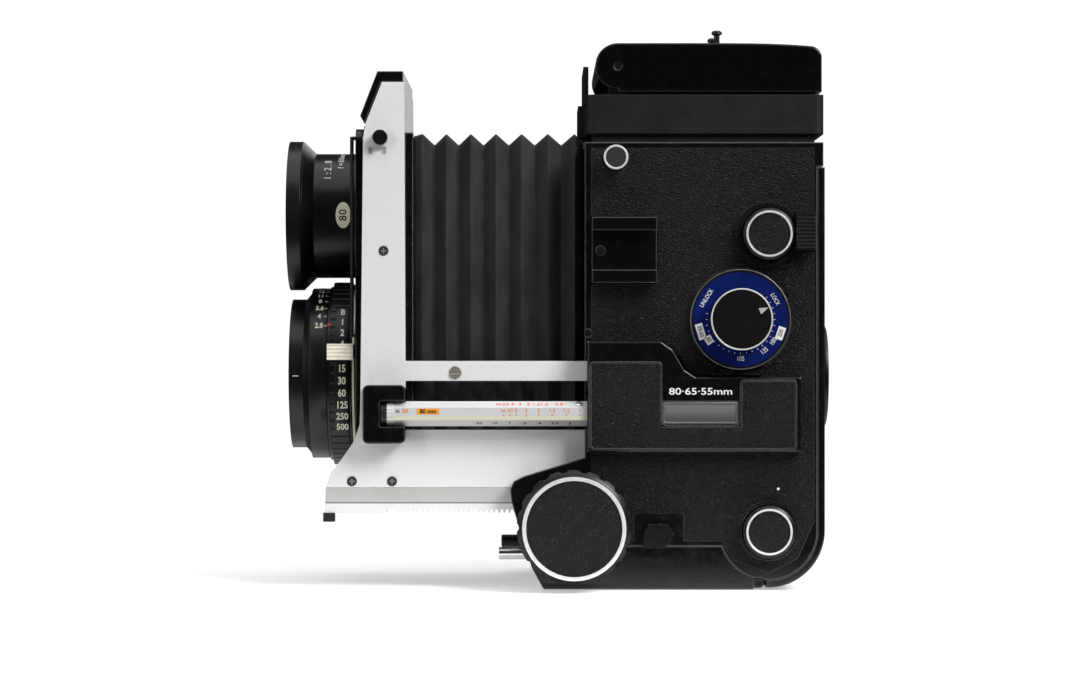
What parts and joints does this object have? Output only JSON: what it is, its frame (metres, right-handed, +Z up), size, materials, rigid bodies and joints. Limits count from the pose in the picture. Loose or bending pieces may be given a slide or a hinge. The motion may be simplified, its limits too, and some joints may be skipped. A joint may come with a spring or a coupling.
{
  "type": "twin lens reflex camera",
  "caption": "Twin lens reflex camera with rack-focused lens carriage on bellows, folding waist-level hood, hinged back and wind crank.",
  "frame": {"origin": "mouth of the tripod socket, on the base plane", "axes": "+Z up, lenses face -Y, +X is the user's left side"},
  "size_m": [0.122, 0.1679, 0.1734],
  "materials": {
    "black_enamel": "semi-gloss black baked enamel, worn at the edges",
    "gloss_black": "gloss black enamel",
    "leather": "black pebbled leatherette",
    "bellows_cloth": "black pleated leather cloth",
    "silver_enamel": "satin silver lacquer",
    "machined_metal": "milled steel, brushed lengthwise",
    "bright_chrome": "polished chrome",
    "black_anodised": "black anodised, satin",
    "dull_black": "matt black lacquer",
    "brass": "machined brass",
    "steel": "turned steel",
    "lens_glass": "coated glass",
    "silvered_mirror": "surface-silvered glass"
  },
  "bodies": {
    "camera_body": {"body_casting": "black_enamel", "left_cover": "black_enamel", "right_cover": "black_enamel", "left_leather": "leather", "right_leather": "leather", "base_plate": "gloss_black", "tripod_bush": "brass", "accessory_shoe": "gloss_black", "strap_lugs": "bright_chrome", "scale_housing": "black_enamel", "scale_window": "lens_glass", "dial_plate": "gloss_black", "focusing_screen": "lens_glass", "reflex_mirror": "silvered_mirror", "film_rollers": "steel", "bellows": "bellows_cloth", "cable_release_socket": "bright_chrome", "counter_window": "lens_glass", "body_screws": "steel", "hood_base": "black_enamel", "hinge_pins": "bright_chrome"},
    "lid": {"hood_lid": "gloss_black", "lid_studs": "black_anodised"},
    "left_flap": {"left_flap": "dull_black"},
    "right_flap": {"right_flap": "dull_black"},
    "rear_flap": {"rear_flap": "dull_black"},
    "magnifier": {"magnifier_arm": "dull_black", "magnifier_lens": "lens_glass"},
    "carriage": {"left_side_plate": "silver_enamel", "right_side_plate": "silver_enamel", "carriage_screws": "steel", "standard_frame": "black_enamel", "name_cap": "gloss_black", "racks": "machined_metal", "lens_panel": "black_anodised", "viewing_barrel": "black_anodised", "viewing_glass": "lens_glass", "shutter_housing": "black_anodised", "taking_front_ring": "black_anodised", "taking_glass": "lens_glass", "scale_block": "gloss_black"},
    "aperture_ring": {"aperture_ring": "black_anodised"},
    "speed_ring": {"speed_ring": "black_anodised"},
    "cocking_lever": {"cocking_lever": "bright_chrome"},
    "scale_bar": {"scale_bar": "bright_chrome"},
    "lens_bail": {"lens_bail": "black_anodised"},
    "focus_drive": {"focus_shaft": "machined_metal", "focus_knobs": "black_anodised"},
    "focus_lock": {"focus_lock": "black_anodised"},
    "selector_knob": {"selector_knob": "black_anodised"},
    "upper_spool_knob": {"upper_spool_knob": "black_anodised"},
    "lower_spool_knob": {"lower_spool_knob": "black_anodised"},
    "back_latch": {"back_latch": "black_anodised"},
    "wind_crank": {"crank_hub": "bright_chrome", "crank_handle": "bright_chrome", "take_up_spool": "dull_black"},
    "back_door": {"back_door": "black_enamel", "pressure_plate": "dull_black"},
    "film_type_dial": {"film_type_dial": "black_anodised"},
    "release_button": {"release_button": "black_anodised"}
  },
  "joints": [
    {"name": "focus_slide", "type": "slide", "parent": "camera_body", "child": "carriage", "axis": [0, 1, 0], "range_m": [0, 0.046], "deforming": ["bellows"]},
    {"name": "focus_turn", "type": "hinge", "parent": "camera_body", "child": "focus_drive", "pos_m": [0, -0.0232, 0.0194], "axis": [1, 0, 0], "range_deg": [-625, 5]},
    {"name": "aperture_turn", "type": "hinge", "parent": "carriage", "child": "aperture_ring", "pos_m": [0, -0.1026, 0.0657], "axis": [0, 1, 0], "range_deg": [-30, 60]},
    {"name": "speed_turn", "type": "hinge", "parent": "carriage", "child": "speed_ring", "pos_m": [0, -0.0957, 0.0657], "axis": [0, 1, 0], "range_deg": [-120, 120]},
    {"name": "cocking_turn", "type": "hinge", "parent": "carriage", "child": "cocking_lever", "pos_m": [0, -0.0915, 0.0657], "axis": [0, 1, 0], "range_deg": [0, 40]},
    {"name": "scale_bar_turn", "type": "hinge", "parent": "carriage", "child": "scale_bar", "pos_m": [0.043, -0.08, 0.0537], "axis": [0, 1, 0], "continuous": true},
    {"name": "bail_swing", "type": "hinge", "parent": "carriage", "child": "lens_bail", "pos_m": [0, -0.0825, 0.1383], "axis": [-1, 0, 0], "range_deg": [0, 25]},
    {"name": "lid_swing", "type": "hinge", "parent": "camera_body", "child": "lid", "pos_m": [0, -0.0095, 0.1605], "axis": [1, 0, 0], "range_deg": [0, 90]},
    {"name": "left_flap_swing", "type": "hinge", "parent": "camera_body", "child": "left_flap", "pos_m": [0.0316, 0.018, 0.1446], "axis": [0, 1, 0], "range_deg": [0, 90]},
    {"name": "right_flap_swing", "type": "hinge", "parent": "camera_body", "child": "right_flap", "pos_m": [-0.0316, 0.018, 0.1446], "axis": [0, -1, 0], "range_deg": [0, 90]},
    {"name": "rear_flap_swing", "type": "hinge", "parent": "camera_body", "child": "rear_flap", "pos_m": [0, 0.0446, 0.15], "axis": [-1, 0, 0], "range_deg": [0, 90]},
    {"name": "magnifier_swing", "type": "hinge", "parent": "lid", "child": "magnifier", "pos_m": [0, 0.024, 0.161], "axis": [1, 0, 0], "range_deg": [-90, 0]},
    {"name": "focus_lock_turn", "type": "hinge", "parent": "camera_body", "child": "focus_lock", "pos_m": [0.0462, 0.002, 0.0166], "axis": [1, 0, 0], "range_deg": [0, 25]},
    {"name": "selector_turn", "type": "hinge", "parent": "camera_body", "child": "selector_knob", "pos_m": [0.05, 0.0276, 0.0825], "axis": [1, 0, 0], "range_deg": [-236, 0]},
    {"name": "upper_knob_pull", "type": "slide", "parent": "camera_body", "child": "upper_spool_knob", "axis": [1, 0, 0], "range_m": [0, 0.0065], "stiffness_N_per_m": 250, "springref_m": -0.002},
    {"name": "lower_knob_pull", "type": "slide", "parent": "camera_body", "child": "lower_spool_knob", "axis": [1, 0, 0], "range_m": [0, 0.0065], "stiffness_N_per_m": 250, "springref_m": -0.002},
    {"name": "latch_turn", "type": "hinge", "parent": "camera_body", "child": "back_latch", "pos_m": [0.0455, 0.0362, 0.1085], "axis": [1, 0, 0], "range_deg": [0, 14], "stiffness_Nm_per_rad": 0.02, "springref_deg": -5.73},
    {"name": "wind_turn", "type": "hinge", "parent": "camera_body", "child": "wind_crank", "pos_m": [-0.047, 0.0362, 0.1085], "axis": [-1, 0, 0], "continuous": true},
    {"name": "door_swing", "type": "hinge", "parent": "camera_body", "child": "back_door", "pos_m": [0, 0.0335, 0.0019], "axis": [-1, 0, 0], "range_deg": [0, 95]},
    {"name": "film_type_turn", "type": "hinge", "parent": "back_door", "child": "film_type_dial", "pos_m": [0, 0.0545, 0.065], "axis": [0, 1, 0], "range_deg": [0, 90]},
    {"name": "release_press", "type": "slide", "parent": "camera_body", "child": "release_button", "axis": [0, 1, 0], "range_m": [0, 0.003], "stiffness_N_per_m": 300, "springref_m": -0.001}
  ],
  "couplings": [
    {"joint": "focus_turn", "follows": "focus_slide", "rad_per_m": -235.29},
    {"joint": "left_flap_swing", "follows": "lid_swing", "ratio": 1},
    {"joint": "right_flap_swing", "follows": "lid_swing", "ratio": 1},
    {"joint": "rear_flap_swing", "follows": "lid_swing", "ratio": 1},
    {"joint": "magnifier_swing", "follows": "lid_swing", "ratio": -1}
  ]
}
